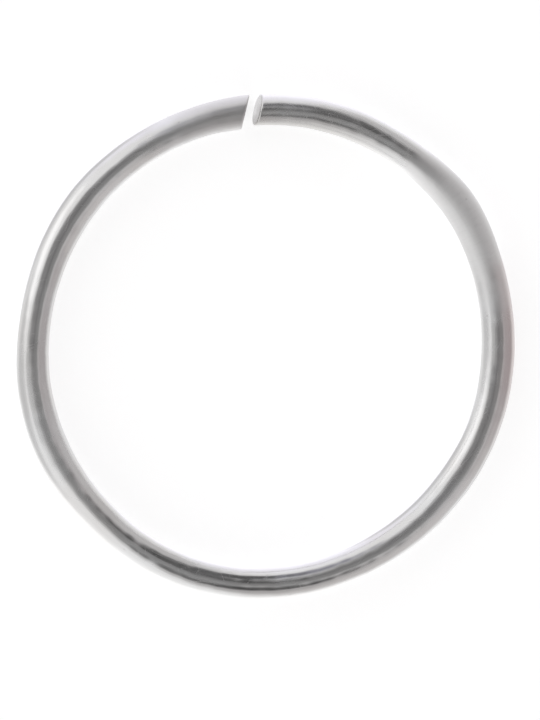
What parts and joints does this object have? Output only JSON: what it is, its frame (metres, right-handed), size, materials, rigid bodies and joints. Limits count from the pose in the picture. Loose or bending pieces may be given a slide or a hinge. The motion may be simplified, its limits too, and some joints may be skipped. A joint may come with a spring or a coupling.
{
  "type": "nose ring",
  "caption": "Plain open hoop of round silver wire with a narrow gap between two slanted cut ends, worn through a pierced nostril.",
  "frame": {"origin": "on the surface that the hoop lies on, under the middle of the hoop", "axes": "+Z is the hoop's axis and points up from the surface, +Y points towards the gap, +X is to the right of the gap as seen from above"},
  "size_m": [0.0092, 0.0092, 0.0006],
  "materials": {
    "silver_wire": "gloss"
  },
  "bodies": {
    "root": {"hoop": "silver_wire"}
  },
  "joints": []
}
